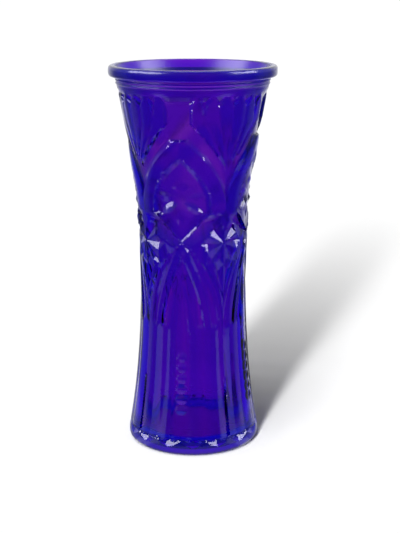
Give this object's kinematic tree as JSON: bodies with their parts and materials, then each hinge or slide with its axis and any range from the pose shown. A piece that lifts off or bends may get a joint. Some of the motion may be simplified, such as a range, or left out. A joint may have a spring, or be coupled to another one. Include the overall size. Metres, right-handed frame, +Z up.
{
  "type": "vase",
  "caption": "Flared vase of deep violet moulded glass with cut stars, gothic arches, ribbed body and a rounded rim bead.",
  "frame": {"origin": "centre of the base, at the height of the table", "axes": "+Z up along the vase's axis, -Y towards the viewer"},
  "size_m": [0.108, 0.108, 0.25],
  "materials": {
    "violet_glass": "polished"
  },
  "bodies": {
    "root": {"vase": "violet_glass"}
  },
  "joints": []
}
